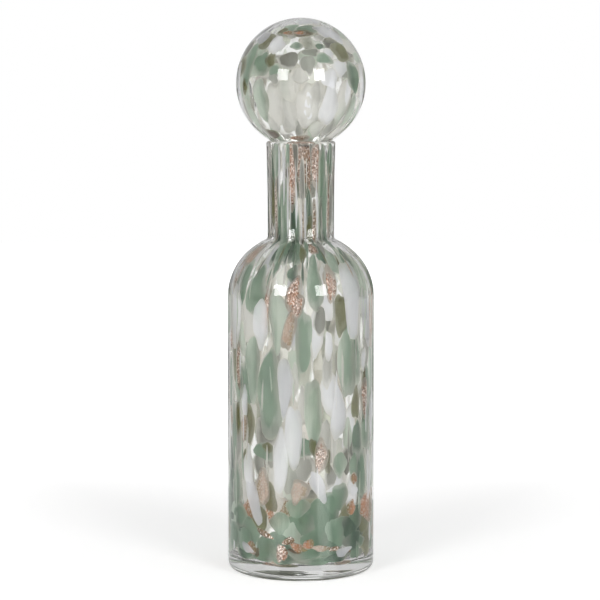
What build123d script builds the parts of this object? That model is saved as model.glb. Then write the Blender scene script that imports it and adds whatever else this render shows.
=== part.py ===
from build123d import *

import os
from math import acos, atan2, cos, pi, sin, sqrt

# A blown glass bottle with a loose ball stopper, standing on z = 0 with its axis on Z.
# The bottle is cased glass: a clear outer casing with a heavy foot and a drawn neck, over a thin
# lining that carries the coloured chips. The ball is made the same way, and its shank hangs in
# the neck. Outlines are drawn as (distance from the axis, height).

# Bottle, in millimetres
body_diameter = 120.0
straight_height = 223.5  # where the side stops being upright and the shoulder begins
shoulder_radius = 51.7
neck_root_diameter = 54.0
neck_root_fillet = 3.0
neck_length = 75.1  # from its base at the shoulder to where the lip starts to roll over
lip_diameter = 56.0
heel_radius = 6.5
casing_wall = 3.0
lining_wall = 1.5
foot_thickness = 10.5  # clear glass under the lining
cavity_corner_radius = 9.0
punt_diameter = 92.0  # the shallow hollow under the foot, inside the ring it stands on
punt_depth = 2.0

# Stopper, in millimetres
ball_diameter = 105.0
ball_casing_wall = 2.2
ball_lining_wall = 1.3
seat_gap = 0.3  # between the ball and the lip
blow_hole_diameter = 14.0  # the hole the ball was blown through, which the shank closes
shank_length = 40.0  # below the bottom of the ball
shank_top_diameter = 24.0
shank_end_diameter = 22.5
shank_edge_radius = 1.5

body_radius = body_diameter / 2
neck_radius = neck_root_diameter / 2
lip_radius = lip_diameter / 2
full_wall = casing_wall + lining_wall
lip_round = full_wall / 2


def point_at(centre, radius, angle):
    """The point at an angle, in radians from +X, on a circle in the section plane."""
    return (centre[0] + radius * cos(angle), centre[1] + radius * sin(angle))


def arc_about(centre, radius, start, end):
    """An arc of a circle in the section plane, from one angle to another."""
    middle = (start + end) / 2
    return ThreePointArc(*(point_at(centre, radius, angle) for angle in (start, middle, end)))


# The shoulder arc and the small hollow arc where it runs into the neck, at the neck's base
shoulder_centre = (body_radius - shoulder_radius, straight_height)
fillet_out = neck_radius + neck_root_fillet - shoulder_centre[0]
fillet_rise = sqrt((shoulder_radius + neck_root_fillet) ** 2 - fillet_out**2)
fillet_centre = (neck_radius + neck_root_fillet, straight_height + fillet_rise)
shoulder_sweep = atan2(fillet_rise, fillet_out)
neck_base = fillet_centre[1]
lip_base = neck_base + neck_length

# The ball rests on the round lip, a seat gap away from it
ball_radius = ball_diameter / 2
seat_distance = ball_radius + seat_gap + lip_round
ball_centre = (0, lip_base + sqrt(seat_distance**2 - (lip_radius - lip_round) ** 2))
hole_radius = blow_hole_diameter / 2
ball_cavity_radius = ball_radius - ball_casing_wall - ball_lining_wall


def side_and_shoulder(foot_of_side, inset):
    """The body's outline from its side up to the neck's base, moved inwards by an inset."""
    side = Line(foot_of_side, (body_radius - inset, straight_height))
    shoulder = arc_about(shoulder_centre, shoulder_radius - inset, 0, shoulder_sweep)
    root = arc_about(fillet_centre, neck_root_fillet + inset, shoulder_sweep - pi, -pi)
    return [side, shoulder, root]


def neck_side(inset):
    """The neck's outline, upright at its base and flaring a little to the lip, moved inwards."""
    foot = (neck_radius - inset, neck_base)
    return TangentArc(foot, (lip_radius - inset, lip_base), tangent=(0, 1))


def cavity_outline(inset, floor, corner):
    """One face of the body's lining: over the floor, round its corner and up to the neck's base."""
    wall = body_radius - inset
    bottom = Line((0, floor), (wall - corner, floor))
    bend = arc_about((wall - corner, floor + corner), corner, -pi / 2, 0)
    return [bottom, bend, *side_and_shoulder(bend @ 1, inset)]


def revolved(edges):
    """A solid turned about Z from a closed outline of radius and height."""
    return revolve(Plane.XZ * make_face(Wire(edges)), Axis.Z)


def bottle_body():
    """The clear outer glass up to the neck's base: hollow under the foot and thick across it."""
    punt_radius = punt_diameter / 2
    dome_radius = (punt_radius**2 + punt_depth**2) / (2 * punt_depth)
    dome_centre = (0, punt_depth - dome_radius)
    dome = arc_about(dome_centre, dome_radius, pi / 2, acos(punt_radius / dome_radius))
    ring = Line((punt_radius, 0), (body_radius - heel_radius, 0))
    heel = arc_about((body_radius - heel_radius, heel_radius), heel_radius, -pi / 2, 0)
    outside = side_and_shoulder(heel @ 1, 0)
    inside = cavity_outline(casing_wall, foot_thickness, cavity_corner_radius)
    top = Line(outside[-1] @ 1, inside[-1] @ 1)
    axis = Line((0, foot_thickness), (0, punt_depth))
    return revolved([dome, ring, heel, *outside, top, *inside, axis])


def bottle_neck():
    """The clear outer glass from the neck's base up, rolled inwards over the lining at the lip."""
    outside = neck_side(0)
    inside = neck_side(casing_wall)
    lip = arc_about((lip_radius - lip_round, lip_base), lip_round, 0, pi)
    ledge = Line(lip @ 1, inside @ 1)
    return revolved([outside, lip, ledge, inside, Line(inside @ 0, outside @ 0)])


def bottle_lining():
    """The thin inner glass that carries the chips, from the cavity's floor to the lip."""
    floor = foot_thickness + lining_wall
    outer_body = cavity_outline(casing_wall, foot_thickness, cavity_corner_radius)
    inner_body = cavity_outline(full_wall, floor, cavity_corner_radius - lining_wall)
    outer_neck = neck_side(casing_wall)
    inner_neck = neck_side(full_wall)
    top = Line(outer_neck @ 1, inner_neck @ 1)
    axis = Line((0, foot_thickness), (0, floor))
    return revolved([*outer_body, outer_neck, top, inner_neck, *inner_body, axis])


def angle_at(radius, reach):
    """The angle, below the ball's middle, of the point of a sphere that lies a reach off the axis."""
    return -atan2(sqrt(radius**2 - reach**2), reach)


def ball_shell(outer_radius, wall):
    """One glass layer of the ball, open at the bottom where the blow hole was."""
    inner_radius = outer_radius - wall
    outer = arc_about(ball_centre, outer_radius, pi / 2, angle_at(outer_radius, hole_radius))
    inner = arc_about(ball_centre, inner_radius, angle_at(inner_radius, hole_radius), pi / 2)
    return revolved([outer, Line(outer @ 1, inner @ 0), inner, Line(inner @ 1, outer @ 0)])


def stopper_shank():
    """The ground glass shank: its top follows the ball, and a neck of glass closes the blow hole."""
    end = ball_centre[1] - ball_radius - shank_length
    end_radius = shank_end_diameter / 2
    top_radius = shank_top_diameter / 2
    base = Line((0, end), (end_radius - shank_edge_radius, end))
    edge_centre = (end_radius - shank_edge_radius, end + shank_edge_radius)
    edge = arc_about(edge_centre, shank_edge_radius, -pi / 2, 0)
    seat_from = angle_at(ball_radius, top_radius)
    seat = arc_about(ball_centre, ball_radius, seat_from, angle_at(ball_radius, hole_radius))
    plug_from = angle_at(ball_cavity_radius, hole_radius)
    plug = arc_about(ball_centre, ball_cavity_radius, plug_from, -pi / 2)
    side = Line(edge @ 1, seat @ 0)
    return revolved([base, edge, side, seat, Line(seat @ 1, plug @ 0), plug, Line(plug @ 1, (0, end))])


os.makedirs("parts", exist_ok=True)
nodes = {
    "bottle_body": bottle_body(),
    "bottle_neck": bottle_neck(),
    "bottle_lining": bottle_lining(),
    "stopper_ball_casing": ball_shell(ball_radius, ball_casing_wall),
    "stopper_ball_lining": ball_shell(ball_radius - ball_casing_wall, ball_lining_wall),
    "stopper_shank": stopper_shank(),
}
for node, shape in nodes.items():
    export_step(shape, f"parts/{node}.step")
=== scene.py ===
"""A blown glass bottle and the hollow glass ball that closes it, both flecked with coloured chips.

The clear glass is one closed skin for the bottle and two closed spheres for the ball. The chips are
thin lens shapes buried in the wall between its two faces, laid on the wall's unrolled sheet: a
place on it is a turn round the axis, in degrees from the front towards the right, and a height.
"""

from collections import namedtuple
from math import acos, atan2, pi, radians, sqrt

import bpy
import numpy as np
from bpy.props import FloatProperty, FloatVectorProperty, IntProperty, PointerProperty
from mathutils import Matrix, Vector


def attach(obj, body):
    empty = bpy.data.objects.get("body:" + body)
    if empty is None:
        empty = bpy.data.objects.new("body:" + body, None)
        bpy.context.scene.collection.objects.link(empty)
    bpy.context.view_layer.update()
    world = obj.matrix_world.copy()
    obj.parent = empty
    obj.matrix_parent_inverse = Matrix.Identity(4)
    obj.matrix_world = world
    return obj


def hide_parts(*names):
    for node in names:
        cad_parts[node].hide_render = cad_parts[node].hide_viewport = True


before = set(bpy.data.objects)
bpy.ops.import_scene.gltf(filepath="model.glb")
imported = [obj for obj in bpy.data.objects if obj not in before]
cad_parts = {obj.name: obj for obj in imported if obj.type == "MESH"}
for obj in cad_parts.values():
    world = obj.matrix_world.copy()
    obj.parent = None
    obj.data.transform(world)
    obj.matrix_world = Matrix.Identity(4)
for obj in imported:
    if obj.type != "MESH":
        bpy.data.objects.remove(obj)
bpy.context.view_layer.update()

bl_info = {
    "name": "Chipped glass bottle",
    "version": (1, 0, 0),
    "blender": (4, 5, 0),
    "location": "View3D > Sidebar > Bottle",
    "description": "Builds a stoppered bottle of clear glass flecked with coloured chips",
    "category": "Add Mesh",
}

MM = 0.001
SHARP = 70.0  # faces that meet at more than this many degrees keep their edge

# The wall, in millimetres, as (distance from the axis, height)
BODY_RADIUS = 60.0
WALL = 4.5
HEEL_RADIUS = 6.5
STRAIGHT_HEIGHT = 223.5
SHOULDER_RADIUS = 51.7
NECK_RADIUS = 27.0
ROOT_FILLET = 3.0
NECK_LENGTH = 75.1
LIP_RADIUS = 28.0
FLOOR_HEIGHT = 12.0
CAVITY_CORNER = 7.5
PUNT_RADIUS = 46.0
PUNT_DEPTH = 2.0
SHOULDER_CENTRE = (BODY_RADIUS - SHOULDER_RADIUS, STRAIGHT_HEIGHT)
ROOT_OUT = NECK_RADIUS + ROOT_FILLET - SHOULDER_CENTRE[0]
ROOT_RISE = sqrt((SHOULDER_RADIUS + ROOT_FILLET) ** 2 - ROOT_OUT**2)
ROOT_CENTRE = (NECK_RADIUS + ROOT_FILLET, STRAIGHT_HEIGHT + ROOT_RISE)
SHOULDER_SWEEP = atan2(ROOT_RISE, ROOT_OUT)
FLARE = LIP_RADIUS - NECK_RADIUS
FLARE_RADIUS = (NECK_LENGTH**2 + FLARE**2) / (2 * FLARE)
LIP_BASE = ROOT_CENTRE[1] + NECK_LENGTH
FLOOR_POINTS = 14  # along the cavity's floor

# The stopper, in millimetres
BALL_RADIUS = 52.5
BALL_WALL = 3.5
SEAT_GAP = 0.3
BALL_CENTRE = LIP_BASE + sqrt(
    (BALL_RADIUS + SEAT_GAP + WALL / 2) ** 2 - (LIP_RADIUS - WALL / 2) ** 2)
SHANK_LENGTH = 40.0
SHANK_TOP_RADIUS = 12.0
SHANK_END_RADIUS = 11.25
SHANK_EDGE = 1.5
SHANK_SINK = 0.05  # its top stops this far short of the ball

# The sheet that the bottle's chips lie on, in millimetres: how far in from the outside, and the
# height and corner of its floor. Chips on the floor lie a little below the cavity's.
SHEET_INSET = 2.75
SHEET_FLOOR = 11.0
SHEET_CORNER = 8.0
FLOOR_SINK = 0.9

# A chip's points round it, and its rings as shares of the way out: for chips set one by one and for
# those laid by chance
FINE_GRID = (24, (0.4, 0.75, 0.93))
PLAIN_GRID = (16, (0.6,))
LOBES = ((3, 0.08), (4, 0.05), (5, 0.045), (7, 0.02))  # waves round its outline, and their size

# The neck's foot widens in a curve that only its shine shows, in metres: where that starts, how far
# down it goes, and its radius
FLARE_TOP = 0.2842
FLARE_DROP = 0.0105
FLARE_CURVE = 0.036

# The shares of light that a chip lets through, and that it does at its thin rim and from inside,
# and how far its inner face goes towards cream, which is painted backlight
TRANSLUCENT = 0.5
THIN_TRANSLUCENT = 0.85
PAINTED_BACKLIGHT_SHARE = 0.6

# The stage, in metres: the right softbox, what both aim at, and the camera's way off the axis
SOFTBOX_PLACE = (1.143, -1.760, 0.895)
SOFTBOX_AIM = (0, 0, 0.234)
CAMERA_ASIDE = -0.0007
FLOOR_REACH = 4.0
# The floor's painted shadow under the bottle: the floor's own light comes back between these
# distances
PAINTED_SHADOW_FADE = (0.042, 0.068)  # distances between which the floor brightens from under the bottle

# A chip on the wall or ball. Its layer is how far outwards its middle is, in millimetres, and the
# share of its family's own place in the wall that is kept. On the floor, x and y stand for turn
# and height.
Chip = namedtuple("Chip", "turn height width length kind lean layer", defaults=(0, (0, 1)))

# Chip kinds: the family they belong to, and how far along that family's range of colours they lie
KINDS = {
    "pale": ("green", 0.0), "sage": ("green", 0.34), "green": ("green", 0.60),
    "deep": ("green", 0.74), "teal": ("green", 0.92),
    "white": ("white", 0.15), "milk": ("white", 0.36), "lilac": ("white", 0.60),
    "cream": ("grey", 0.05), "mist": ("grey", 0.22), "grey": ("grey", 0.45),
    "smoke": ("grey", 0.85),
    "olive": ("brown", 0.14), "umber": ("brown", 0.80),
    "pink": ("copper", 0.08), "tan": ("copper", 0.22), "copper": ("copper", 0.50),
    "bronze": ("copper", 0.62), "amber": ("copper", 0.88), "brass": ("copper", 1.30),
}

# Chips on the side and shoulder, most of them seen from the front: turn in degrees, height, width
# and length in millimetres, kind, and for some their lean in degrees clockwise and their layer
BODY_CHIPS = [
    (-33, 206, 12, 40, "white"), (-42, 170, 13, 53, "sage"), (-25, 152, 19, 76, "green", 2),
    (-12, 158, 11, 46, "lilac"), (-5, 162, 6, 28, "grey"), (-16, 96, 11, 52, "milk", 2),
    (-6, 118, 13, 52, "white"), (2, 195, 12, 54, "sage"), (10, 137, 13, 57, "sage", -2),
    (3, 144, 9, 31, "grey"), (-6, 229, 10, 34, "copper", 6), (-2, 222, 8, 22, "copper", 10),
    (-9, 203, 9, 36, "tan", 12), (-18, 210, 13, 50, "sage"), (15, 210, 9, 26, "smoke"),
    (21, 170, 8, 29, "grey"), (33, 214, 12, 34, "olive"), (40, 176, 16, 62, "sage"),
    (31, 136, 11, 46, "milk", 3), (44, 226, 17, 66, "lilac"), (-45, 125, 10, 34, "olive"),
    (-50, 123, 7, 26, "tan", 4), (48, 142, 8, 27, "olive"), (51, 113, 11, 30, "teal"),
    (-46, 90, 9, 36, "white", -3), (-40, 64, 10, 42, "milk", -17), (-32, 76, 12, 30, "tan"),
    (-25, 68, 10, 25, "olive", -5), (3, 93, 14, 24, "grey"), (44, 106, 10, 22, "smoke"),
    (24, 84, 9, 20, "smoke"), (38, 97, 9, 24, "smoke"), (47, 90, 9, 26, "sage"),
    (53, 82, 9, 34, "green"), (-36, 95, 9, 20, "smoke"), (20, 120, 8, 22, "grey"),
    (-31, 105, 17, 14, "green", 20), (-27, 108, 9, 8, "olive", 10), (-28, 119, 18, 26, "smoke"),
    (5, 108, 12, 16, "deep", 15), (10, 108, 6, 17, "olive", -14), (-48, 97, 8, 19, "olive"),
    (-1, 73, 12, 21, "pink", 12), (-8, 84, 12, 30, "grey"), (16, 102, 10, 28, "tan", 4),
    (21, 97, 5, 20, "olive"), (14, 77, 9, 28, "milk", -25), (33, 93, 12, 19, "sage"),
    (33, 68, 13, 22, "green", 6), (46, 81, 7, 10, "amber"), (46, 71, 8, 9, "white"),
    (43, 58, 8, 13, "amber", 10), (18, 50, 24, 43, "green", -8), (2, 46, 22, 24, "deep", 14),
    (-17, 47, 15, 19, "sage"), (40, 42, 17, 18, "teal", 20), (-43, 38, 13, 28, "green", -22),
    (-27, 27, 20, 19, "green", 20), (2, 23, 22, 12, "deep"), (26, 30, 11, 24, "deep"),
    (-13, 17, 22, 8, "deep"), (10, 16, 26, 8, "deep"), (-32, 19, 20, 8, "green", 8),
    (30, 18, 22, 8, "teal", -6), (50, 20, 14, 9, "green"), (-50, 19, 14, 9, "teal"),
    (-30, 38, 14, 5, "amber", 25), (-10, 33, 9, 6, "amber", -20), (-2, 28, 12, 7, "amber", 20),
    (6, 31, 8, 8, "amber", -30), (16, 27, 13, 5, "tan", 5), (-5, 25, 10, 3, "umber", 15),
    (27, 26, 8, 4, "amber"), (-43, 25, 9, 11, "amber", -20), (-38, 22, 6, 8, "umber"),
    (-8, 40, 20, 22, "sage", 10), (12, 34, 26, 20, "green", -10), (-14, 33, 24, 14, "deep", 20),
    (30, 40, 20, 26, "green", 8), (44, 30, 18, 16, "teal"), (-50, 30, 16, 22, "green", -10),
    (-2, 60, 16, 18, "sage"), (24, 62, 14, 22, "sage"), (-34, 50, 12, 20, "olive"),
    (50, 50, 14, 20, "deep"), (-15, 23, 8, 15, "copper"), (-47, 24, 12, 7, "lilac", 25),
    (36, 23, 13, 7, "lilac", -15), (-60, 260, 13, 28, "tan", 12, (0.9, 1)),
    # The two long grey chips at turns of 90 and -90 degrees lie on the bottle's edges as seen from
    # the front: painted shade for the grey of the shoulder's edges
    (90, 236, 10, 70, "grey", 0, (0.9, 1)), (-90, 236, 10, 70, "grey", 0, (0.9, 1)),
    (-66, 244, 10, 34, "green"), (-54, 240, 9, 40, "green"), (-38, 231, 17, 48, "green"),
    (-29, 262, 5, 30, "teal", 10), (-26, 263, 8, 28, "sage"), (-18, 264, 8, 26, "green"),
    (-11, 264, 9, 28, "teal"), (-3, 262, 9, 30, "green"), (7, 266, 6, 20, "sage"),
    (20, 264, 6, 26, "sage"), (28, 264, 8, 30, "grey"), (-22, 258, 6, 36, "green", 6),
    (-15, 263, 6, 28, "teal", 3), (-7, 263, 5, 26, "green"), (-7, 246, 8, 18, "teal"),
    (11, 241, 11, 50, "sage"), (15, 264, 11, 13, "copper"), (24, 239, 10, 30, "copper"),
    (-28, 218, 5, 40, "copper", 4), (33, 256, 12, 24, "sage"), (2, 262, 7, 20, "olive"),
    (22, 262, 7, 24, "green", -6), (-64, 190, 9, 60, "olive"), (-72, 150, 9, 60, "sage"),
    (-66, 116, 8, 50, "green"), (-80, 200, 9, 70, "smoke"), (-82, 130, 9, 70, "grey"),
    (-71, 88, 9, 50, "teal"), (64, 196, 9, 60, "grey"), (72, 160, 9, 60, "sage"),
    (66, 118, 9, 50, "smoke"), (80, 190, 9, 70, "sage"), (82, 120, 9, 70, "green"),
    (70, 84, 9, 50, "sage"), (-58, 172, 6, 40, "copper"), (60, 150, 6, 40, "umber"),
    (-76, 60, 9, 50, "green"), (52, 256, 12, 26, "green"), (-5, 125, 5, 24, "pale"),
    (25, 108, 10, 26, "grey"), (-26, 102, 8, 22, "grey"), (40, 118, 8, 26, "pale"),
    (-50, 144, 6, 26, "white"), (-20, 180, 7, 26, "grey"), (22, 190, 6, 24, "white"),
    (-19, 62, 8, 18, "cream"),
]

# Chips in the neck seen from the front, in the same columns. Their width is what it would be on the
# side, at whose radius the whole sheet is unrolled.
NECK_CHIPS = [
    (-69, 312, 12, 72, "smoke"), (-58, 302, 9, 40, "olive"), (-60, 330, 4, 40, "teal"),
    (-48, 337, 15, 34, "sage"), (-50, 296, 7, 52, "pink"), (-41, 326, 4, 54, "white"),
    (-34, 292, 23, 66, "sage"), (-42, 288, 8, 60, "green"), (-31, 324, 5, 50, "white"),
    (-23, 340, 9, 24, "sage"), (-24, 300, 3, 62, "white"), (-16, 324, 12, 58, "bronze"),
    (-15, 287, 11, 38, "teal"), (-8, 300, 4, 34, "white"), (-6, 278, 8, 34, "green"),
    (0, 287, 4, 40, "cream"), (4, 290, 3, 38, "pink"), (8, 287, 4, 40, "white"),
    (14, 294, 14, 36, "teal"), (15, 280, 12, 24, "olive"), (25, 286, 8, 42, "brass"),
    (31, 289, 4, 42, "white"), (26, 332, 14, 42, "copper"), (34, 318, 4, 58, "pale"),
    (43, 324, 13, 56, "sage"), (45, 290, 18, 62, "green"), (58, 300, 5, 66, "copper"),
    (64, 336, 18, 30, "green"), (69, 300, 12, 50, "smoke"), (38, 300, 4, 50, "grey"),
]

# Chips in the ball seen from the front: turn and height in degrees, width and length in
# millimetres, kind, and for some their lean
BALL_CHIPS = [
    (-27, 35, 12, 17, "white", 8), (-42, 39, 13, 16, "olive", 20), (-17, 57, 10, 12, "sage", 10),
    (-26, 52, 6, 9, "olive", 30), (11, 55, 16, 12, "deep"), (2, 49, 15, 9, "umber"),
    (-1, 49, 9, 5, "amber"), (-17, 49, 8, 6, "amber"), (-12, 46, 7, 6, "grey"),
    (8, 69, 12, 13, "white"), (43, 29, 14, 19, "olive", -35), (10, 28, 12, 8, "smoke"),
    (23, 22, 13, 9, "green", 15), (21, 34, 7, 6, "teal"), (-13, 20, 16, 14, "smoke", 10),
    (6, 16, 11, 16, "grey"), (-38, 17, 16, 19, "green", 14), (-58, 15, 15, 36, "sage", 6),
    (-60, -4, 6, 13, "olive"), (42, 10, 9, 12, "grey"), (54, 5, 14, 25, "green", -6),
    (37, 53, 15, 15, "lilac", -20), (48, 44, 10, 15, "lilac", -20), (-25, -19, 14, 38, "cream"),
    (-14, -4, 15, 24, "cream"), (-12, -30, 13, 36, "mist"), (13, -20, 13, 38, "mist"),
    (28, -19, 13, 38, "white"), (4, -23, 15, 38, "cream"), (-44, -52, 10, 12, "umber", 20),
    (-2, -58, 14, 8, "brass"), (-40, -16, 13, 34, "pale"), (43, -20, 14, 36, "cream"),
    (58, -26, 9, 30, "pale"), (-60, -32, 9, 28, "pale"), (20, -46, 10, 20, "cream"),
    (-2, 6, 12, 12, "mist"), (26, 4, 12, 16, "white"), (-24, 3, 9, 10, "grey"),
    (-34, -40, 9, 22, "cream"), (38, -44, 9, 20, "grey"), (-52, 44, 10, 14, "lilac"),
    (24, 44, 8, 7, "grey"), (-5, 34, 9, 7, "sage"), (-30, 20, 8, 12, "olive"),
]

# Shares of the kinds in each mix of chips laid by chance
MIXES = {
    "side": {
        "sage": 6, "pale": 4, "green": 3, "teal": 0.6, "white": 4, "lilac": 3, "grey": 3,
        "cream": 2, "olive": 1.5, "umber": 0.6, "copper": 1.5, "pink": 1.5},
    "low": {
        "sage": 3, "green": 6, "pale": 1, "teal": 3, "white": 0.3, "amber": 1.5, "pink": 0.2,
        "olive": 2},
    "veil": {"sage": 1.5, "pale": 4, "white": 4, "lilac": 2, "grey": 3, "cream": 6, "smoke": 0.5},
    "streak": {
        "white": 6, "pale": 4, "cream": 4, "grey": 2, "sage": 1.5, "pink": 0.8, "olive": 0.5},
    "neck": {
        "sage": 2, "green": 4, "teal": 7, "smoke": 5, "white": 0.5, "grey": 1, "umber": 2,
        "copper": 4, "bronze": 2},
    "ball": {
        "sage": 5, "pale": 4, "green": 4, "teal": 0.6, "white": 4, "lilac": 3, "grey": 3,
        "cream": 2, "olive": 2, "umber": 1},
    "dark streak": {"green": 4, "teal": 3, "smoke": 3, "olive": 2},
    "pale streak": {"pale": 2, "cream": 5, "white": 5, "grey": 3},
}

# Layers laid by chance on the wall: their pieces' last name, columns and rows, lowest and highest
# height, least and most width, least and most length, mix, the chips' layer, and the turn up to
# which the front is left to the listed chips. Sizes are in millimetres.
WALL_LAYERS = [
    ("round", 25, 5, 62, 258, (7, 16), (26, 74), "side", (0, 1), 56),
    ("round", 26, 5, 66, 262, (4, 9), (12, 34), "side", (0, 1), 56),
    ("round", 24, 2, 18, 62, (14, 26), (16, 32), "low", (0, 1), 56),
    ("round", 26, 2, 20, 60, (6, 11), (6, 12), "low", (0, 1), 56),
    ("round", 20, 2, 276, 346, (4, 8), (24, 48), "neck", (0, 1), 70),
    ("veil", 14, 5, 66, 262, (8, 17), (26, 60), "veil", (-1.35, 0.25), 0),
    ("veil", 19, 2, 18, 60, (14, 26), (18, 34), "low", (-1.35, 0.25), 0),
    ("veil", 22, 2, 274, 346, (6, 11), (28, 50), "neck", (-1.35, 0.25), 0),
    ("streak", 34, 4, 60, 262, (1.3, 3.2), (16, 62), "streak", (1.45, 0.2), 44),
    ("streak", 24, 3, 64, 262, (1.0, 2.2), (12, 40), "pale streak", (1.45, 0.2), 0),
    ("streak", 22, 2, 18, 60, (2.0, 4.5), (6, 20), "low", (1.45, 0.2), 50),
    ("streak", 20, 2, 272, 346, (1.0, 2.2), (16, 40), "streak", (1.45, 0.2), 0),
    ("streak", 40, 1, 240, 272, (1.0, 2.6), (14, 32), "dark streak", (0.8, 0.2), 0),
]

# Layers laid by chance on the ball: their pieces' last name, mix, count, lowest and highest place
# as a share of the radius, and the rest as above
BALL_LAYERS = [
    ("top", "ball", 100, 0.05, 0.97, (7, 14), (9, 19), (0, 1), 66),
    ("low", "pale streak", 70, -0.9, 0.1, (5, 10), (20, 36), (0, 1), 66),
    ("veil", "pale streak", 46, -0.88, 0.0, (5, 10), (22, 38), (-0.95, 0.15), 0),
    ("back", "veil", 34, 0.0, 0.97, (8, 16), (10, 20), (-0.95, 0.15), 0),
]

# Chips laid by chance on the cavity's floor: how many, how far out, and their least and most size
FLOOR_CHIPS = (46, 50, (8, 20))


# Outlines


def line(start, end, count):
    """Points spaced evenly from start to end: start + (end - start) t."""
    t = np.linspace(0, 1, count)[:, None]
    return np.array(start) * (1 - t) + np.array(end) * t


def arc(centre, radius, start, end, count):
    """Points of a circle: centre + radius (cos a, sin a), for a from start to end in radians."""
    a = np.linspace(start, end, count)
    return np.array(centre) + radius * np.stack([np.cos(a), np.sin(a)], 1)


def joined(*runs):
    """Runs of points end to end, with the point that two runs share kept once."""
    return np.concatenate([runs[0]] + [run[1:] for run in runs[1:]])


def side_to_neck(inset, foot_height):
    """The wall's outline from a height on its side up to where the lip starts, moved inwards.

    An upright line, the shoulder's arc, the hollow arc at the neck's root and the neck's long arc
    follow one another with no corner.
    """
    radius = BODY_RADIUS - inset
    flare = (NECK_RADIUS - inset + FLARE_RADIUS, ROOT_CENTRE[1])
    return joined(
        line((radius, foot_height), (radius, STRAIGHT_HEIGHT), 60),
        arc(SHOULDER_CENTRE, SHOULDER_RADIUS - inset, 0, SHOULDER_SWEEP, 50),
        arc(ROOT_CENTRE, ROOT_FILLET + inset, SHOULDER_SWEEP - pi, -pi, 12),
        arc(flare, FLARE_RADIUS, pi, pi - NECK_LENGTH / FLARE_RADIUS, 24),
    )


def cavity_line(inset, floor, corner):
    """One face of the inner layer: over the floor, round its corner and up to the lip."""
    foot = (BODY_RADIUS - inset - corner, floor + corner)
    return joined(
        line((0, floor), (foot[0], floor), FLOOR_POINTS),
        arc(foot, corner, -pi / 2, 0, 14),
        side_to_neck(inset, foot[1]),
    )


def bottle_line():
    """The bottle's whole skin, from the middle of its foot, over the lip, to the cavity's floor."""
    dome_radius = (PUNT_RADIUS**2 + PUNT_DEPTH**2) / (2 * PUNT_DEPTH)
    dome_end = acos(PUNT_RADIUS / dome_radius)
    heel_foot = BODY_RADIUS - HEEL_RADIUS
    outside = side_to_neck(0, HEEL_RADIUS)
    return joined(
        arc((0, PUNT_DEPTH - dome_radius), dome_radius, pi / 2, dome_end, 14),
        line((PUNT_RADIUS, 0), (heel_foot, 0), 4),
        arc((heel_foot, HEEL_RADIUS), HEEL_RADIUS, -pi / 2, 0, 12),
        outside,
        arc((outside[-1][0] - WALL / 2, outside[-1][1]), WALL / 2, 0, pi, 15),
        cavity_line(WALL, FLOOR_HEIGHT, CAVITY_CORNER)[::-1],
    )


# Meshes


def new_object(name, data):
    """A new object in the scene."""
    thing = bpy.data.objects.new(name, data)
    bpy.context.scene.collection.objects.link(thing)
    return thing


def new_piece(name, points, faces, look, values=None):
    """A smooth mesh object at the origin from points in millimetres, with values per point."""
    mesh = bpy.data.meshes.new(name)
    mesh.from_pydata((np.asarray(points) * MM).tolist(), [], faces)
    mesh.validate()
    mesh.shade_smooth()
    mesh.set_sharp_from_angle(angle=radians(SHARP))
    for key, value in (values or {}).items():
        layer = mesh.attributes.new(key, "FLOAT", "POINT")
        layer.data.foreach_set("value", np.ascontiguousarray(value, dtype=np.float32))
    mesh.materials.append(look)
    return new_object(name, mesh)


def ring_faces(steps, rings, start, first, last):
    """Faces between rings of points that follow on from index start, and to a pole at each end."""
    step = np.arange(steps)
    after = (step + 1) % steps
    low = start + np.arange(rings - 1)[:, None] * steps
    faces = np.stack([low + step, low + after, low + after + steps, low + step + steps], 2)
    faces = faces.reshape(-1, 4).tolist()
    end = start + (rings - 1) * steps
    faces += np.stack([0 * step + first, start + after, start + step], 1).tolist()
    return faces + np.stack([0 * step + last, end + step, end + after], 1).tolist()


def turned(outline, steps, ripple):
    """Points and faces of an outline turned about Z, whose ends lie on the axis.

    A point is (r sin t, -r cos t, z), where r is the outline's own plus ripple(outline index, t).
    """
    rows = np.arange(1, len(outline) - 1)
    turns = np.arange(steps) * 2 * pi / steps
    radius, height = outline[rows, 0][:, None], outline[rows, 1][:, None]
    radius = radius + ripple(rows[:, None], turns[None, :])
    height = np.broadcast_to(height, radius.shape)
    grid = np.stack([radius * np.sin(turns), -radius * np.cos(turns), height], 2).reshape(-1, 3)
    ends = np.array([[0, 0, outline[0, 1]], [0, 0, outline[-1, 1]]])
    faces = ring_faces(steps, len(rows), 0, len(grid), len(grid) + 1)
    return np.concatenate([grid, ends]), faces


def lens_pattern(around, rings):
    """One chip's plan: its points' share of the way out, their angles, side, and its faces.

    The points are a centre and rings above, the outline, then the same rings and centre below.
    """
    levels = [*rings, 1.0, *rings[::-1]]
    sides = [1.0] * len(rings) + [0.0] + [-1.0] * len(rings)
    share = np.concatenate([[0.0], np.repeat(levels, around), [0.0]])
    side = np.concatenate([[1.0], np.repeat(sides, around), [-1.0]])
    turns = np.arange(around) * 2 * pi / around
    angle = np.concatenate([[0.0], np.tile(turns, len(levels)), [0.0]])
    faces = ring_faces(around, len(levels), 1, 0, len(share) - 1)
    return share, angle, side, [face[:1] + face[:0:-1] for face in faces]


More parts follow.
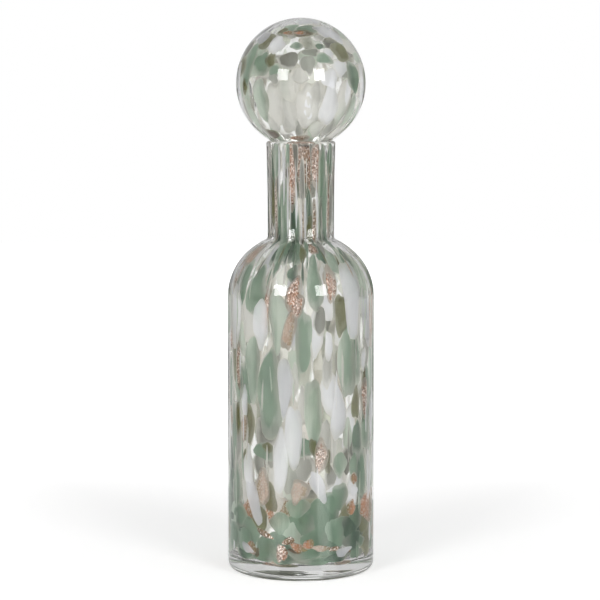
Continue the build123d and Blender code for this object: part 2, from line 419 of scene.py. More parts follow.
def chip_plans(chips, rng, around, rings):
    """Flat plans of chips: across, along, lift and values of every point, and the faces.

    In its own plane an outline point is width/2 c |c|^k (1 + e s) by length/2 s, for c and s the
    cosine and sine of the angle, times 1 + a few small waves: k draws the ends to soft points and e
    makes one end fuller than the other. Both ends are moved across by a share of the width. The
    lift is that of a lens: its thickness times the root of 1 - the share of the way out, squared.
    """
    share, angle, side, faces = lens_pattern(around, rings)

    def each(key):
        return np.array([[getattr(chip, key)] for chip in chips], float)

    def chance(least, most):
        return rng.uniform(least, most, (len(chips), 1))

    width, length, tilt = each("width"), each("length"), np.radians(each("lean"))
    pointed = chance(-0.12, 0.2) * np.clip(length / width / 4, 0.1, 1)
    wave = 1 + 0.07 * chance(-1, 1) * np.sin(2 * angle + chance(0, 6.3))
    for lobe, size in LOBES:
        wave = wave + size * np.sin(lobe * angle + chance(0, 6.3))
    c, s = np.cos(angle), np.sin(angle)
    egg = 1 + chance(-0.3, 0.3) * s
    a = width / 2 * 1.14 * c * np.abs(c) ** pointed * egg * wave * share
    b = length / 2 * s * wave * share
    a = a + width * chance(-0.22, 0.22) * (s * share) ** 2
    across = a * np.cos(tilt) + b * np.sin(tilt)
    along = b * np.cos(tilt) - a * np.sin(tilt)
    thick = np.clip(0.075 * np.minimum(width, length), 0.18, 0.42)
    lift = side * thick * np.sqrt(np.clip(1 - share**2, 0, 1))
    shade = np.array([[KINDS[chip.kind][1]] for chip in chips]) + rng.normal(0, 0.09, width.shape)
    values = {
        "rim": 1 - share,
        "shade": np.clip(shade, 0, 1),
        "slant": c * share * np.where(chance(0, 1) < 0.65, 1, -1),
        "end": s * share * np.where(chance(0, 1) < 0.5, 1, -1),
        "back": np.clip(0.5 - side, 0, 1),
    }
    values = {key: np.broadcast_to(some, across.shape).ravel() for key, some in values.items()}
    return across, along, lift, values, faces


def wall_place(turn, height, across, along, out):
    """Points on the wall's sheet: across turns about the axis, along climbs the wall's own line.

    A point starts on that line where its chip's middle and its along bring it, and goes out square
    to the line.
    """
    sheet = cavity_line(SHEET_INSET, SHEET_FLOOR, SHEET_CORNER)
    run = np.concatenate([[0], np.cumsum(np.hypot(*np.diff(sheet, axis=0).T))])
    slope = np.gradient(sheet, run, axis=0)
    side = run > run[FLOOR_POINTS]
    at = np.interp(height, sheet[side, 1], run[side]) + along
    radius = np.interp(at, run, sheet[:, 0]) + np.interp(at, run, slope[:, 1]) * out
    level = np.interp(at, run, sheet[:, 1]) - np.interp(at, run, slope[:, 0]) * out
    angle = np.radians(turn) + across / (BODY_RADIUS - SHEET_INSET)
    return np.stack([radius * np.sin(angle), -radius * np.cos(angle), level], 2)


def ball_place(turn, rise, across, along, out):
    """Points on the ball's sheet, carried along great circles from each chip's middle.

    With m the middle's direction and w the way to the point, square to m, the point lies in the
    direction m cos a + w sin a, where a is its distance from the middle over the sheet's radius.
    """
    t, r = np.radians(turn), np.radians(rise)
    middle = np.stack([np.sin(t) * np.cos(r), -np.cos(t) * np.cos(r), np.sin(r)], 2)
    east = np.stack([np.cos(t), np.sin(t), np.zeros_like(t)], 2)
    north = np.cross(middle, east)
    base = BALL_RADIUS - BALL_WALL / 2
    far = np.hypot(across, along)[:, :, None]
    way = (east * across[:, :, None] + north * along[:, :, None]) / np.maximum(far, 1e-9)
    spot = middle * np.cos(far / base) + way * np.sin(far / base)
    return spot * (base + out)[:, :, None] + np.array([0, 0, BALL_CENTRE])


def floor_place(x, y, across, along, out):
    """Points on the cavity's flat floor: across goes along x, along goes along y."""
    return np.stack([x + across, y + along, FLOOR_HEIGHT - FLOOR_SINK + out], 2)


def between(ends, share):
    """The value at a share of the way between two ends."""
    return ends[0] + (ends[1] - ends[0]) * share


def picked(rng, mix, count):
    """Kinds of chips by chance, by their shares in a mix."""
    names, weights = list(MIXES[mix]), np.array(list(MIXES[mix].values()), float)
    return [names[i] for i in rng.choice(len(names), count, p=weights / weights.sum())]


def scatter(rng, columns, rows, low, high, width, length, mix, layer, front):
    """Chips by chance: one in each cell of a sheet of columns by rows, moved about inside it."""
    column, row = np.meshgrid(np.arange(columns), np.arange(rows))
    turn = (column + 0.5 * (row % 2) + rng.uniform(-0.42, 0.42, column.shape)) * 360 / columns - 180
    turn = ((turn + 180) % 360 - 180).ravel()
    height = (low + (row + rng.uniform(0.1, 0.9, row.shape)) * (high - low) / rows).ravel()
    size = rng.beta(1.6, 2.0, turn.shape)
    wide = between(width, size)
    tall = between(length, 0.35 * rng.uniform(0, 1, size.shape) + 0.65 * size)
    lean = rng.normal(0, 4, turn.shape)
    cells = zip(turn, height, wide, tall, picked(rng, mix, len(turn)), lean)
    return [Chip(*cell, layer) for cell in cells if abs(cell[0]) >= front]


def chip_pieces(prefix, chips, place, seed, body, grid, suffix=""):
    """One piece for each colour family of some chips, laid by a place function.

    The families lie over one another in the order of their own places in the wall.
    """
    for number, (family, outwards) in enumerate(FAMILIES.items()):
        some = [chip for chip in chips if KINDS[chip.kind][0] == family]
        if not some:
            continue
        rng = np.random.default_rng(seed * 10 + number)
        across, along, lift, values, faces = chip_plans(some, rng, *grid)
        turn, height = np.array([chip[:2] for chip in some], float).T[:, :, None]
        middle, kept = np.array([chip.layer for chip in some], float).T
        depth = middle + kept * outwards + rng.uniform(-0.12, 0.12, len(some))
        points = place(turn, height, across, along, depth[:, None] + lift)
        first = range(0, points.size // 3, points.shape[1])
        faces = [[start + i for i in face] for start in first for face in faces]
        build = enamel_chip if family in ENAMELS else copper_chip
        look = material(f"{family}_chip", build, **ENAMELS.get(family, {}))
        name = f"{prefix}_{family}_chips{suffix}"
        piece = new_piece(name, points.reshape(-1, 3), faces, look, values)
        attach(piece, body)


# Materials


class Sock:
    """A shader value: an output socket of a tree, on which + - * / and ** add Math nodes."""

    def __init__(self, tree, socket):
        self.tree, self.socket = tree, socket

    def _maths(operation, flip=False):
        """An operator that adds a Math node, flipped for its reflected form."""
        def add(self, other):
            return self.tree.math(operation, *((other, self) if flip else (self, other)))

        return add

    __add__ = __radd__ = _maths("ADD")
    __mul__ = __rmul__ = _maths("MULTIPLY")
    __sub__, __rsub__ = _maths("SUBTRACT"), _maths("SUBTRACT", True)
    __truediv__, __rtruediv__ = _maths("DIVIDE"), _maths("DIVIDE", True)
    __pow__ = _maths("POWER")

    def out(self, name):
        """Another output of the same node."""
        return Sock(self.tree, self.socket.node.outputs[name])


class Tree:
    """The node tree of a material, the world or a lamp, emptied and ready to add nodes to."""

    def __init__(self, owner):
        owner.use_nodes = True
        self.nodes, self.links = owner.node_tree.nodes, owner.node_tree.links
        self.nodes.clear()

    def add(self, kind, sockets=None, out=0, **settings):
        """One shader node: its settings first, then values or links of its input sockets.

        A ramp's stops are (place, colour) pairs, and colours are given without their alpha.
        """
        node = self.nodes.new("ShaderNode" + kind)
        for key, value in settings.items():
            if key == "stops":
                ramp = node.color_ramp.elements
                while len(ramp) < len(value):
                    ramp.new(0.5)
                for stop, (place, colour) in zip(ramp, value):
                    stop.position, stop.color = place, (*colour, 1.0)
            else:
                setattr(node, key, value)
        for key, value in (sockets or {}).items():
            socket = node.inputs[key]
            if isinstance(value, Sock):
                self.links.new(value.socket, socket)
            else:
                socket.default_value = (*value, 1.0) if socket.type == "RGBA" else value
        return Sock(self, node.outputs[out]) if node.outputs else None

    def math(self, operation, *values):
        """A Math node on one or two values."""
        return self.add("Math", dict(enumerate(values)), operation=operation)

    def most(self, first, second):
        """The larger of two values."""
        return self.math("MAXIMUM", first, second)

    def range(self, value, low, high, start=0.0, end=1.0):
        """A value's way from low to high, carried smoothly to start and end."""
        sockets = dict(enumerate((value, low, high, start, end)))
        return self.add("MapRange", sockets, interpolation_type="SMOOTHSTEP")

    def ramp(self, stops, value):
        """The colour at a value between a ramp's stops."""
        return self.add("ValToRGB", {"Fac": value}, stops=stops)

    def mix(self, share, first, second):
        """A colour between two colours."""
        return self.add("Mix", {0: share, 6: first, 7: second}, out=2, data_type="RGBA")

    def blend(self, share, first, second):
        """A shader between two shaders."""
        return self.add("MixShader", {0: share, 1: first, 2: second})

    def bump(self, height, strength, distance, **more):
        """A surface's direction with small heights laid on it."""
        sockets = {"Height": height, "Strength": strength, "Distance": distance, **more}
        return self.add("Bump", sockets)

    def part(self, vector, axis):
        """One part of a vector: X, Y or Z."""
        return self.add("SeparateXYZ", {"Vector": vector}, out=axis)

    def met_chip(self, path):
        """1 for a ray that a chip has scattered, 0 for one that has met clear glass only.

        A ray that a chip let through counts as passed on rather than scattered, but by then it has
        passed more faces than a straight look through the bottle does.
        """
        passed = self.range(path.out("Transmission Depth"), 4.0, 5.0)
        return self.most(self.range(path.out("Diffuse Depth"), 0.0, 1.0), passed)

    def place(self, stretch=(1, 1, 1)):
        """Object coordinates, each axis multiplied by its stretch."""
        where = self.add("TexCoord", out="Object")
        return self.add("VectorMath", {0: where, 1: stretch}, operation="MULTIPLY")

    def noise(self, upright, scale, detail=2.0, rough=0.5):
        """Soft noise from 0 to 1, drawn out along Z where upright is under 1."""
        where = self.place((1, 1, upright))
        sockets = {"Vector": where, "Scale": scale, "Detail": detail, "Roughness": rough}
        return self.add("TexNoise", sockets)

    def value(self, name):
        """A value stored on the mesh's points."""
        return self.add("Attribute", out="Fac", attribute_name=name)


def linear(red, green, blue):
    """A colour of 0 to 255, as seen on a screen, as the light values that a shader needs."""
    share = np.array([red, green, blue]) / 255
    low, high = share / 12.92, ((share + 0.055) / 1.055) ** 2.4
    return tuple(float(v) for v in np.where(share < 0.04045, low, high))


def shades(*stops):
    """A ramp's stops from (place, red, green, blue), with colours as seen on a screen."""
    return [(place, linear(*colour)) for place, *colour in stops]


# The cream that a chip's inner face goes towards: painted backlight
PAINTED_BACKLIGHT_CREAM = linear(249, 245, 234)

# The chips' families, in the order that they are made, and how far outwards in the wall they lie
FAMILIES = {"green": -0.3, "white": 1.0, "brown": 0.2, "copper": 0.65, "grey": -0.8}

# The enamel chips of each family but copper, from the palest shade to the darkest
ENAMELS = {
    "green": {  # sage green, from nearly white green to dark teal
        "stops": shades(
            (0.12, 200, 212, 198), (0.34, 134, 163, 139), (0.62, 112, 143, 117), (1.0, 54, 86, 66)),
        "rim": 0.7, "pale": (0.74, 0.77, 0.71), "lean": linear(176, 177, 166),
    },
    "white": {  # milky white, the darkest faintly lilac grey
        "stops": shades((0.0, 250, 251, 254), (0.5, 222, 223, 228), (1.0, 176, 178, 184)),
        "rough": 0.45, "streak": 0.3, "rim": 0.5,
    },
    "brown": {  # olive that runs to umber
        "stops": shades((0.0, 121, 124, 76), (0.5, 100, 96, 58), (1.0, 92, 62, 38)),
        "streak": 0.5, "pale": (0.38, 0.38, 0.24), "soft": 0.3,
    },
    "grey": {  # thin and smoky, the palest nearly cream
        "stops": shades((0.0, 229, 228, 223), (0.5, 172, 173, 166), (1.0, 112, 112, 100)),
    },
}


def material(name, build, **more):
    """The material of that name, whose shader a function builds on its first use."""
    found = bpy.data.materials.get(name)
    if found is None:
        found = bpy.data.materials.new(name)
        tree = Tree(found)
        tree.add("OutputMaterial", {"Surface": build(tree, **more)})
    return found


def blown_glass(tree):
    """Clear blown glass, faintly warm, with the slow ripple that the blowpipe leaves.

    At the neck's foot the second bump falls by the drop's square over twice the curve's radius.
    """
    looks = bpy.context.scene.bottle_glass
    ripple = tree.noise(0.35, 60.0, 1.0)
    normal = tree.bump(ripple, 0.12, 0.0006)
    below = FLARE_TOP - tree.part(tree.place(), "Z")
    drop = tree.add("Clamp", {"Value": below, "Min": 0.0, "Max": FLARE_DROP})
    normal = tree.bump(drop * drop / (2 * FLARE_CURVE), 1.0, 1.0, Normal=normal)
    return tree.add("BsdfPrincipled", {
        "Base Color": looks.tint, "Roughness": 0.0, "IOR": looks.ior, "Transmission Weight": 1.0,
        "Normal": normal,
    })


def chip_shade(tree, streak, rim, soft):
    """A chip's shade value, and how far it thins out, from 0 to 1.

    Each chip has its own shade, leans across its width towards one side, and is drawn out into
    upright streaks. Its rim thins out, far more on one side than on the other, and hardly at the
    foot.
    """
    fine = tree.noise(0.13, 420.0, 3.0, 0.6)
    broad = tree.noise(0.25, 90.0, 2.0)
    slant = tree.value("slant")
    shade = tree.value("shade") + (fine - 0.5) * streak + (broad - 0.5) * 0.45 + slant * 0.18
    loose = tree.most(slant, tree.value("end")) + (broad - 0.5) * 2.5
    reach = soft + tree.range(loose, 0.0, 1.0, 0.0, 0.65)
    rim = rim * tree.range(tree.part(tree.place(), "Z"), 0.05, 0.085, 0.1, 1.0)
    thin = tree.range(tree.value("rim") / reach + (fine - 0.5) * 0.8, 0.0, 1.0, 1.0, 0.0) * rim
    return shade, thin


def let_past(tree, face, pale, dark, tone, share):
    """A chip's face with a share of the light that meets it let through.

    What comes through is between a pale and a dark colour, by tone, and goes towards cream on the
    inner face as painted backlight. Only the face that light enters a chip by colours it: the face
    that it leaves by lets it past.
    """
    def glow(colour):
        return tree.add("BsdfTranslucent", {"Color": [0.65 * part + 0.35 for part in colour]})

    through = tree.blend(tone, glow(pale), glow(dark))
    # Painted backlight: on the inner face the light let through goes towards cream
    through = tree.blend(tree.value("back") * PAINTED_BACKLIGHT_SHARE, through, glow(PAINTED_BACKLIGHT_CREAM))
    leaving = tree.add("NewGeometry", out="Backfacing")
    return tree.blend(leaving, tree.blend(share, face, through), glow((0.955, 0.955, 0.94)))


def enamel_chip(
    tree, stops, rough=0.5, streak=0.22, rim=0.9, pale=(0.82, 0.82, 0.77), soft=0.03, lean=None,
):
    """Enamel chip glass that lets light through, most where it is thin.

    It goes to a pale colour where it is thin, and with lean given, to that colour on one side. Its
    inner face goes to cream, painted backlight for the light that comes through a chip.
    """
    shade, thin = chip_shade(tree, streak, rim, soft)
    back = tree.value("back")
    colour = tree.mix(thin, tree.ramp(stops, shade), pale)
    # Painted backlight: the inner face goes towards cream
    colour = tree.mix(back * PAINTED_BACKLIGHT_SHARE, colour, PAINTED_BACKLIGHT_CREAM)
    if lean:
        broad = tree.noise(0.3, 60.0, 1.0)
        side = tree.range(tree.value("slant") + (broad - 0.5) * 1.6, 0.15, 0.95, 0.0, 0.75)
        colour = tree.mix(side * (1.0 - back), colour, lean)
    face = tree.add("BsdfPrincipled", {
        "Base Color": colour, "Roughness": rough, "Specular IOR Level": 0.1,
    })
    light = [sum(colour) for _, colour in stops]
    steps = [(place, ((light[0] - value) / (light[0] - light[-1]),) * 3)
             for (place, _), value in zip(stops, light)]
    tone = tree.ramp(steps, shade) * (1.0 - thin)
    share = TRANSLUCENT + (THIN_TRANSLUCENT - TRANSLUCENT) * tree.most(thin, back)
    return let_past(tree, face, stops[0][1], stops[-1][1], tone, share)


def copper_glitter(tree, shade, strength=1.0):
    """Aventurine colours: small flat flakes of copper in amber glass, the brightest painted near
    white as painted glints and the darkest dark brown as painted shade.

    Two chance values of the flakes come with them.
    """
    where = tree.place((1, 1, 0.7))
    flakes = tree.add("TexVoronoi", {"Vector": where, "Scale": 1300.0}, out="Color")
    red = tree.add("SeparateColor", {"Color": flakes}, out="Red")
    stops = shades(
        (0.0, 198, 180, 166), (0.26, 164, 136, 112), (0.5, 186, 160, 145), (0.74, 180, 124, 88),
        (1.0, 128, 104, 72))
    body = tree.ramp(stops, shade)
    # Painted shade: flakes of low chance value go dark brown
    dark = tree.mix(tree.range(red, 0.12, 0.4, 0.8, 0.0) * strength, body, linear(92, 66, 48))
    # Painted glints: flakes of high chance value go near white
    painted_glint = tree.range(red, 0.68, 0.84, 0.0, 0.95) * strength
    return tree.mix(painted_glint, dark, linear(255, 243, 236)), red, red.out("Blue")


def copper_chip(tree):
    """Copper chips, whose flakes thin out at the rim, and on the inner face as painted backlight.

    Those in the middle of the family's range and at its very ends glitter, the others are smooth.
    """
    shade, thin = chip_shade(tree, 0.5, 1.0, 0.25)
    back, own = tree.value("back"), tree.value("shade")
    plain = tree.math("ABSOLUTE", own - 0.5)
    middle, ends = tree.range(plain, 0.08, 0.22, 1.0, 0.15), tree.range(plain, 0.47, 0.49)
    strength = tree.most(middle, ends)
    colour, red, blue = copper_glitter(tree, shade, strength)
    # Flakes thin out at the rim and on the inner face, which goes bare as painted backlight
    open_way = tree.most(thin, back) * 1.3 + (blue - 0.5) * 1.1
    bare = tree.range(open_way + tree.range(own, 0.3, 0.45, 0.18, 0.0), 0.3, 0.6)
    side = tree.range(tree.value("slant"), 0.0, 0.8, 0.0, 0.75) * (1.0 - back)
    colour = tree.mix(side * (1.0 - strength), colour, linear(128, 126, 84))
    pale, dark = linear(194, 184, 172), linear(176, 142, 120)
    # Bare parts go to the pale colour, and on the inner face to a near-white cream: painted
    # backlight
    colour = tree.mix(bare, colour, tree.mix(back, pale, linear(236, 230, 222)))
    face = tree.add("BsdfPrincipled", {
        "Base Color": colour, "Roughness": 0.35, "Specular IOR Level": 0.2,
        "Metallic": tree.range(red, 0.6, 0.8, 0.0, 0.5) * (1.0 - bare) * strength,
        "Normal": tree.bump(blue * strength, 0.5, 0.0003),
    })
    return let_past(tree, face, pale, dark, 1.0 - bare, 0.1 + 0.6 * bare)


def shank_glass(tree):
    """The ground shank: frosted glass with upright streaks of copper glitter, sage and white."""
    column = tree.noise(0.04, 330.0, 2.0, 0.6)
    second = tree.noise(0.05, 290.0, 1.0, 0.6)
    stops = shades(
        (0.34, 112, 122, 106), (0.43, 190, 190, 182), (0.52, 158, 160, 148), (0.6, 206, 204, 196),
        (0.68, 102, 112, 94))
    glitter, _, blue = copper_glitter(tree, 0.45 + (second - 0.5))
    upper = tree.range(tree.part(tree.place(), "Z"), 0.3, 0.33, -0.14, 0.17)
    copper = tree.range(second + upper + (blue - 0.5) * 0.12, 0.42, 0.5)
    return tree.add("BsdfPrincipled", {
        "Base Color": tree.mix(copper, tree.ramp(stops, column), glitter), "Roughness": 0.55,
        "Specular IOR Level": 0.4,
        "Normal": tree.bump(tree.noise(1, 1800.0), 0.35, 0.0002),
    })


# Settings


class BottleGlassSettings(bpy.types.PropertyGroup):
    """Sizes and colour of the clear glass."""

    steps: IntProperty(
        name="Steps round", description="Faces round the bottle and the ball", default=160, min=48)
    ripple: FloatProperty(
        name="Ripple", description="How far the blown wall wanders from round", default=0.00012,
        unit="LENGTH")
    rib: FloatProperty(
        name="Neck ribs", description="Depth of the upright ribs inside the neck",
        default=0.00032, unit="LENGTH")
    ior: FloatProperty(
        name="Index", description="How strongly the glass bends light", default=1.5)
    tint: FloatVectorProperty(
        name="Tint", description="Colour of light that passes a face",
        default=(0.955, 0.957, 0.948), subtype="COLOR", min=0, max=1)


class BottleChipSettings(bpy.types.PropertyGroup):
    """How the chips that aren't set by hand are scattered."""

    seed: IntProperty(name="Seed", description="Which scatter of chips is used", default=7)


class BottleStageSettings(bpy.types.PropertyGroup):
    """Camera, lamps and surroundings."""

    lens: FloatProperty(name="Lens", description="Focal length", default=124.59, unit="CAMERA")
    distance: FloatProperty(
        name="Distance", description="Camera in front of the bottle's axis", default=1.6894,
        unit="LENGTH")
    height: FloatProperty(
        name="Height", description="Camera above the floor", default=0.3823, unit="LENGTH")
    pitch: FloatProperty(
        name="Pitch", description="How far the camera looks down", default=radians(5.447),
        subtype="ANGLE")
    box_size: FloatProperty(
        name="Softbox", description="Side of each square softbox", default=0.71, unit="LENGTH")
    box_power: FloatProperty(
        name="Softbox power", description="Power of each softbox in watts", default=19.0,
        unit="POWER")
    ambient: FloatProperty(
        name="Room light", description="Even light from all round", default=0.42, min=0)
    through: FloatProperty(
        name="Light through glass", description="Light that reaches what lies inside the glass",
        default=3.1, min=0)
    sides: FloatProperty(
        name="Dim sides", description="How much less of that light comes from left and right",
        default=0.6, min=0, max=1)
    dim: FloatProperty(
        name="Dark sides", description="Brightness of the dark parts of the studio in the glass",
        default=0.08, min=0)


# Operators


def wall_ripple(inward, loose):
    """Ripples of a wall: sums of sines of the turn and of the way along the outline.

    Outside, the sum is brought between 0 and 1 and taken inwards, so the wall never leaves its
    size. Inside, it is loose, and shorter ripples join it.
    """
    def ripple(row, turn):
        wave = np.sin(3 * turn + 0.061 * row) + np.sin(5 * turn - 0.11 * row + 1.3)
        wave = wave + 0.7 * np.sin(8 * turn + 0.05 * row + 4.1)
        wave = wave + 0.5 * np.sin(0.23 * row + 2 * turn)
        short = np.sin(19 * turn + 0.31 * row + 2 * np.sin(3 * turn + 0.19 * row))
        short = short + np.sin(27 * turn - 0.27 * row + 2 * np.sin(4 * turn - 0.23 * row))
        return -inward * (wave / 6.4 + 0.5) + loose * (wave / 3.2 + short * 0.55)

    return ripple


class BOTTLE_OT_glass(bpy.types.Operator):
    """Turn the bottle's clear glass, outside and inside, as one closed skin"""

    bl_idname = "bottle.glass"
    bl_label = "Bottle glass"

    def execute(self, context):
        looks = context.scene.bottle_glass
        outline = bottle_line()
        height = outline[:, 1]
        lip = int(np.argmax(height))
        outer = wall_ripple(looks.ripple / MM, 0.0)
        inner = wall_ripple(0.0, looks.ripple / MM)
        away = np.clip((height - 4) / 20, 0, 1) * np.clip((LIP_BASE - height) / 15, 0, 1)
        neck = np.clip((height - ROOT_CENTRE[1] + 6) / 18, 0, 1)
        neck = neck * np.clip((LIP_BASE - height) / 12, 0, 1)

        def ripple(row, turn):
            ribs = np.sin(11 * turn + 0.4) + 0.8 * np.sin(17 * turn + 2.0)
            ribs = (ribs + 0.6 * np.sin(26 * turn + 1.1)) / 2.4
            inside = inner(row, turn) * away[row] + looks.rib / MM * ribs * neck[row]
            return np.where(row < lip, outer(row, turn) * away[row], inside)

        points, faces = turned(outline, looks.steps, ripple)
        piece = new_piece("bottle_glass", points, faces, material("blown_glass", blown_glass))
        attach(piece, "bottle")
        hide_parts("bottle_body", "bottle_neck", "bottle_lining")
        return {"FINISHED"}


class BOTTLE_OT_chips(bpy.types.Operator):
    """Lay the chips in the bottle's wall and on its floor"""

    bl_idname = "bottle.chips"
    bl_label = "Bottle chips"

    def execute(self, context):
        seed = context.scene.bottle_chips.seed
        rng = np.random.default_rng(seed)
        chips = [Chip(*row) for row in BODY_CHIPS + NECK_CHIPS]
        chip_pieces("bottle", chips, wall_place, seed, "bottle", FINE_GRID)
        layers = {}
        for name, *sheet in WALL_LAYERS:
            layers.setdefault(name, []).extend(scatter(rng, *sheet))
        for number, (name, chips) in enumerate(layers.items(), seed + 1):
            chip_pieces("bottle", chips, wall_place, number, "bottle", PLAIN_GRID, f"_{name}")
        count, reach, sizes = FLOOR_CHIPS
        spin, far = rng.uniform(0, 2 * pi, count), reach * np.sqrt(rng.uniform(0, 1, count))
        size, lean = rng.uniform(*sizes, (count, 2)), rng.uniform(0, 180, count)
        kinds = picked(rng, "low", count)
        rows = zip(far * np.cos(spin), far * np.sin(spin), *size.T, kinds, lean)
        chips = [Chip(*row) for row in rows]
        chip_pieces("bottle", chips, floor_place, seed + 9, "bottle", PLAIN_GRID, "_floor")
        return {"FINISHED"}


class BOTTLE_OT_ball(bpy.types.Operator):
    """Turn the hollow ball's clear glass and lay its chips"""

    bl_idname = "bottle.ball"
    bl_label = "Ball"

    def execute(self, context):
        looks, seed = context.scene.bottle_glass, context.scene.bottle_chips.seed
        count = looks.steps // 2 + 1
        centre = (0, BALL_CENTRE)
        fade = np.sin(np.linspace(0, pi, count))
        outer = arc(centre, BALL_RADIUS, -pi / 2, pi / 2, count)
        inner = arc(centre, BALL_RADIUS - BALL_WALL, pi / 2, -pi / 2, count)
        wave = wall_ripple(looks.ripple / MM, 0.0)
        loose = wall_ripple(0.0, looks.ripple / MM * 1.6)
        points, faces = turned(outer, looks.steps, lambda row, turn: wave(row, turn) * fade[row])
        more, others = turned(inner, looks.steps, lambda row, turn: loose(row, turn) * fade[row])
        faces = faces + [[i + len(points) for i in face] for face in others]
        glass = material("blown_glass", blown_glass)
        piece = new_piece("ball_glass", np.concatenate([points, more]), faces, glass)
        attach(piece, "stopper")
        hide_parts("stopper_ball_casing", "stopper_ball_lining")
        chips = [Chip(*row) for row in BALL_CHIPS]
        chip_pieces("ball", chips, ball_place, seed + 20, "stopper", FINE_GRID)
        rng = np.random.default_rng(seed + 21)
        for name, mix, count, low, high, width, length, layer, front in BALL_LAYERS:
            turn = rng.uniform(-180, 180, count)
            rise = np.degrees(np.arcsin(rng.uniform(low, high, count)))
            size, lean = rng.uniform(0, 1, count), rng.normal(0, 8, count)
            wide, tall = between(width, size), between(length, size)
            rows = zip(turn, rise, wide, tall, picked(rng, mix, count), lean)
            chips = [Chip(*row, layer) for row in rows if abs(row[0]) >= front]
            chip_pieces("ball", chips, ball_place, seed + 22, "stopper", PLAIN_GRID, f"_{name}")
        return {"FINISHED"}


class BOTTLE_OT_shank(bpy.types.Operator):
    """Turn the ground shank that hangs in the neck"""

    bl_idname = "bottle.shank"
    bl_label = "Shank"

    def execute(self, context):
        end = BALL_CENTRE - BALL_RADIUS - SHANK_LENGTH
        seat = BALL_RADIUS + SHANK_SINK
        top = arc((0, BALL_CENTRE), seat, -acos(SHANK_TOP_RADIUS / seat), -pi / 2, 14)
        edge_centre = (SHANK_END_RADIUS - SHANK_EDGE, end + SHANK_EDGE)
        outline = joined(
            line((0, end), (edge_centre[0], end), 6),
            arc(edge_centre, SHANK_EDGE, -pi / 2, 0, 7),
            line((SHANK_END_RADIUS, edge_centre[1]), top[0], 24),
            top,
        )
        points, faces = turned(outline, 96, lambda row, turn: 0 * row * turn)
        piece = new_piece("shank", points, faces, material("shank_glass", shank_glass))
        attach(piece, "stopper")
        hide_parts("stopper_shank")
        return {"FINISHED"}


def rays(tree):
    """What a ray is: the camera's, a mirrored one, one that clear glass alone has mirrored or bent,
    and one on its way out of the glass from a chip."""
    seen = tree.add("LightPath", out="Is Camera Ray")
    passed, shine = seen.out("Is Transmission Ray"), seen.out("Is Glossy Ray")
    met = tree.met_chip(seen)
    return seen, shine, tree.most(shine, passed) * (1.0 - met), passed * met


def sides(x, y, looks):
    """Share of the room light by direction: full from front and back, less from left and right."""
    return 1.0 - x * x / (x * x + y * y) * looks.sides


def panels_at(tree, x, y, widen, looks):
    """Brightness of the studio by direction round the bottle: white in eight broad panels, each
    behind a side that the bottle is looked at from, and dim between them.
    """
    angle = tree.math("ARCTAN2", y, x)
    wave = tree.math("COSINE", angle * 8.0)
    return tree.range(wave + widen, -0.2, 0.45, looks.dim, 1.0)


def pale_floor(tree):
    """A pale floor that has the studio's panels when it is seen through the glass.

    Its own light makes it white to the camera, and reaches the chips inside the glass. Under the
    bottle that light, as seen through the glass and as it reaches the chips, falls away to a
    painted shadow. Two bars in front of the bottle are there for the softboxes' reflections low in
    the glass.
    """
    looks = bpy.context.scene.bottle_stage
    seen, shine, bent, inside = rays(tree)
    x = tree.part(tree.add("TexCoord", out="Object"), "X")
    y = x.out("Y")
    far = (x * x + y * y) ** 0.5
    widen = tree.range(far, 1.0, 2.4, 0.4, 1.0) + 0.45 / far
    panels = panels_at(tree, x, y, widen, looks)
    # Painted shadow under the bottle: the floor's light falls to 0.08 there
    under = tree.range(far, *PAINTED_SHADOW_FADE, 0.08, 1.0)
    white = seen * (0.42 + tree.range(far, 0.15, 1.2, 0.0, 0.6))
    inside = inside * sides(x, y, looks) * (looks.through - looks.ambient) * under
    pale = tree.add("BsdfDiffuse", {"Color": (0.86, 0.86, 0.86)})
    lift = tree.add("Emission", {"Color": (1, 1, 1), "Strength": white + inside})
    plain = tree.add("AddShader", {0: pale, 1: lift})
    off = tree.math("ABSOLUTE", tree.math("ABSOLUTE", x) / far - 0.53)
    bars = tree.range(off, 0.1, 0.17, 2.4, 0.0) * tree.range(y, -0.1, -0.05, 1.0, 0.0)
    bars = bars * tree.range(far, 0.5, 0.85, 1.0, 0.0) * shine * under
    studio = tree.add("Emission", {"Color": (1, 1, 1), "Strength": panels * under + bars})
    share = bent * tree.most(tree.range(far, 0.1, 0.7, 0.6, 1.0), 1.0 - under)
    return tree.blend(share, plain, studio)


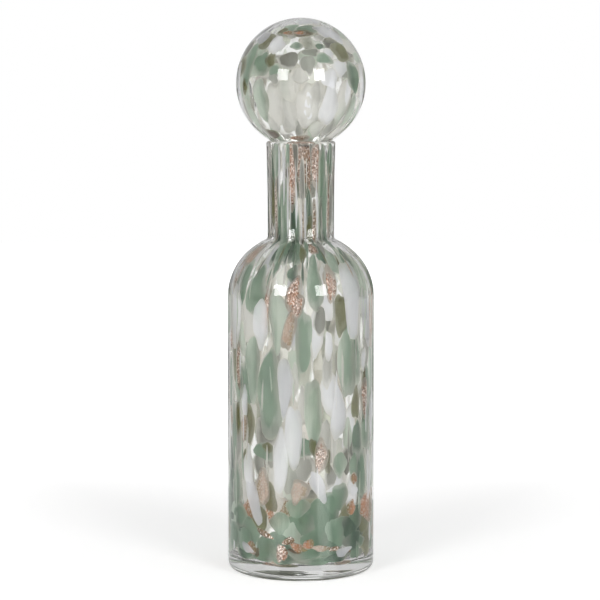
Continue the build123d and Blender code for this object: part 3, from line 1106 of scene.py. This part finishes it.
class BOTTLE_OT_stage(bpy.types.Operator):
    """Set the floor, the surroundings, the softboxes and the camera"""

    bl_idname = "bottle.stage"
    bl_label = "Stage"

    def execute(self, context):
        looks = context.scene.bottle_stage
        self.floor()
        self.surroundings(context, looks)
        self.softboxes(context, looks)
        self.camera(context, looks)
        context.scene.view_settings.view_transform = "Standard"
        return {"FINISHED"}

    def floor(self):
        """A round floor on which the bottle stands."""
        steps = 96
        turn = np.arange(steps) * 2 * pi / steps
        edge = np.stack([np.cos(turn), np.sin(turn), 0 * turn], 1) * FLOOR_REACH / MM
        look = material("pale_floor", pale_floor)
        floor = new_piece("floor", edge, [list(range(steps))], look)

    def surroundings(self, context, looks):
        """White behind the bottle, the studio's panels in the glass, and even room light."""
        world = bpy.data.worlds.new("studio")
        context.scene.world = world
        tree = Tree(world)
        seen, _, bent, inside = rays(tree)
        x = tree.part(tree.add("TexCoord", out="Generated"), "X")
        y, z = x.out("Y"), x.out("Z")
        low = tree.range(z, 0.06, 0.13, 1.0, 0.0)
        panels = 0.6 + (panels_at(tree, x, y, 0.0, looks) - 0.6) * low
        inside = inside * sides(x, y, looks) * tree.range(z, 0.1, 0.9, 1.0, 0.6)
        room = looks.ambient + (looks.through - looks.ambient) * inside
        strength = seen + (1.0 - seen) * (bent * panels + (1.0 - bent) * room)
        back = tree.add("Background", {"Color": (1, 1, 1), "Strength": strength})
        tree.add("OutputWorld", {"Surface": back})

    def softboxes(self, context, looks):
        """Two square softboxes, left and right of the camera and above it.

        They don't light what lies inside the glass, which the surroundings light instead.
        """
        x, y, z = SOFTBOX_PLACE
        for name, side in (("softbox_left", -1), ("softbox_right", 1)):
            lamp = bpy.data.lights.new(name, "AREA")
            lamp.shape, lamp.size, lamp.energy = "SQUARE", looks.box_size, looks.box_power
            tree = Tree(lamp)
            passed = tree.add("LightPath", out="Transmission Depth")
            inside = tree.range(passed, 0.0, 1.0) * tree.met_chip(passed)
            glow = tree.add("Emission", {"Strength": 1.0 - inside})
            tree.add("OutputLight", {"Surface": glow})
            box = new_object(name, lamp)
            box.location = (x * side, y, z)
            aim = Vector(SOFTBOX_AIM) - box.location
            box.rotation_euler = aim.to_track_quat("-Z", "Y").to_euler()

    def camera(self, context, looks):
        """The camera, level with the neck and looking a little down."""
        data = bpy.data.cameras.new("camera")
        data.lens, data.sensor_width = looks.lens, 36.0
        data.dof.use_dof = False
        camera = new_object("camera", data)
        camera.location = (CAMERA_ASIDE, -looks.distance, looks.height)
        camera.rotation_euler = (pi / 2 - looks.pitch, 0, 0)
        context.scene.camera = camera


class BOTTLE_PT_panel(bpy.types.Panel):
    """The steps, in the order that they are made, and the values that they use"""

    bl_idname = "BOTTLE_PT_panel"
    bl_label = "Chipped glass bottle"
    bl_space_type = "VIEW_3D"
    bl_region_type = "UI"
    bl_category = "Bottle"

    def draw(self, context):
        for step in STEPS:
            self.layout.operator(step.bl_idname)
        for name in SETTINGS:
            values = getattr(context.scene, name)
            for key in values.bl_rna.properties.keys():
                if key not in ("rna_type", "name"):
                    self.layout.prop(values, key)


STEPS = (BOTTLE_OT_stage, BOTTLE_OT_glass, BOTTLE_OT_chips, BOTTLE_OT_ball, BOTTLE_OT_shank)
SETTINGS = {
    "bottle_glass": BottleGlassSettings,
    "bottle_chips": BottleChipSettings,
    "bottle_stage": BottleStageSettings,
}
CLASSES = (*SETTINGS.values(), *STEPS, BOTTLE_PT_panel)


def register():
    for cls in CLASSES:
        bpy.utils.register_class(cls)
    for name, cls in SETTINGS.items():
        setattr(bpy.types.Scene, name, PointerProperty(type=cls))


def unregister():
    for name in SETTINGS:
        delattr(bpy.types.Scene, name)
    for cls in reversed(CLASSES):
        bpy.utils.unregister_class(cls)


def main():
    """Builds everything in order."""
    register()
    for step in STEPS:
        group, name = step.bl_idname.split(".")
        getattr(getattr(bpy.ops, group), name)()


if __name__ == "__main__":
    main()
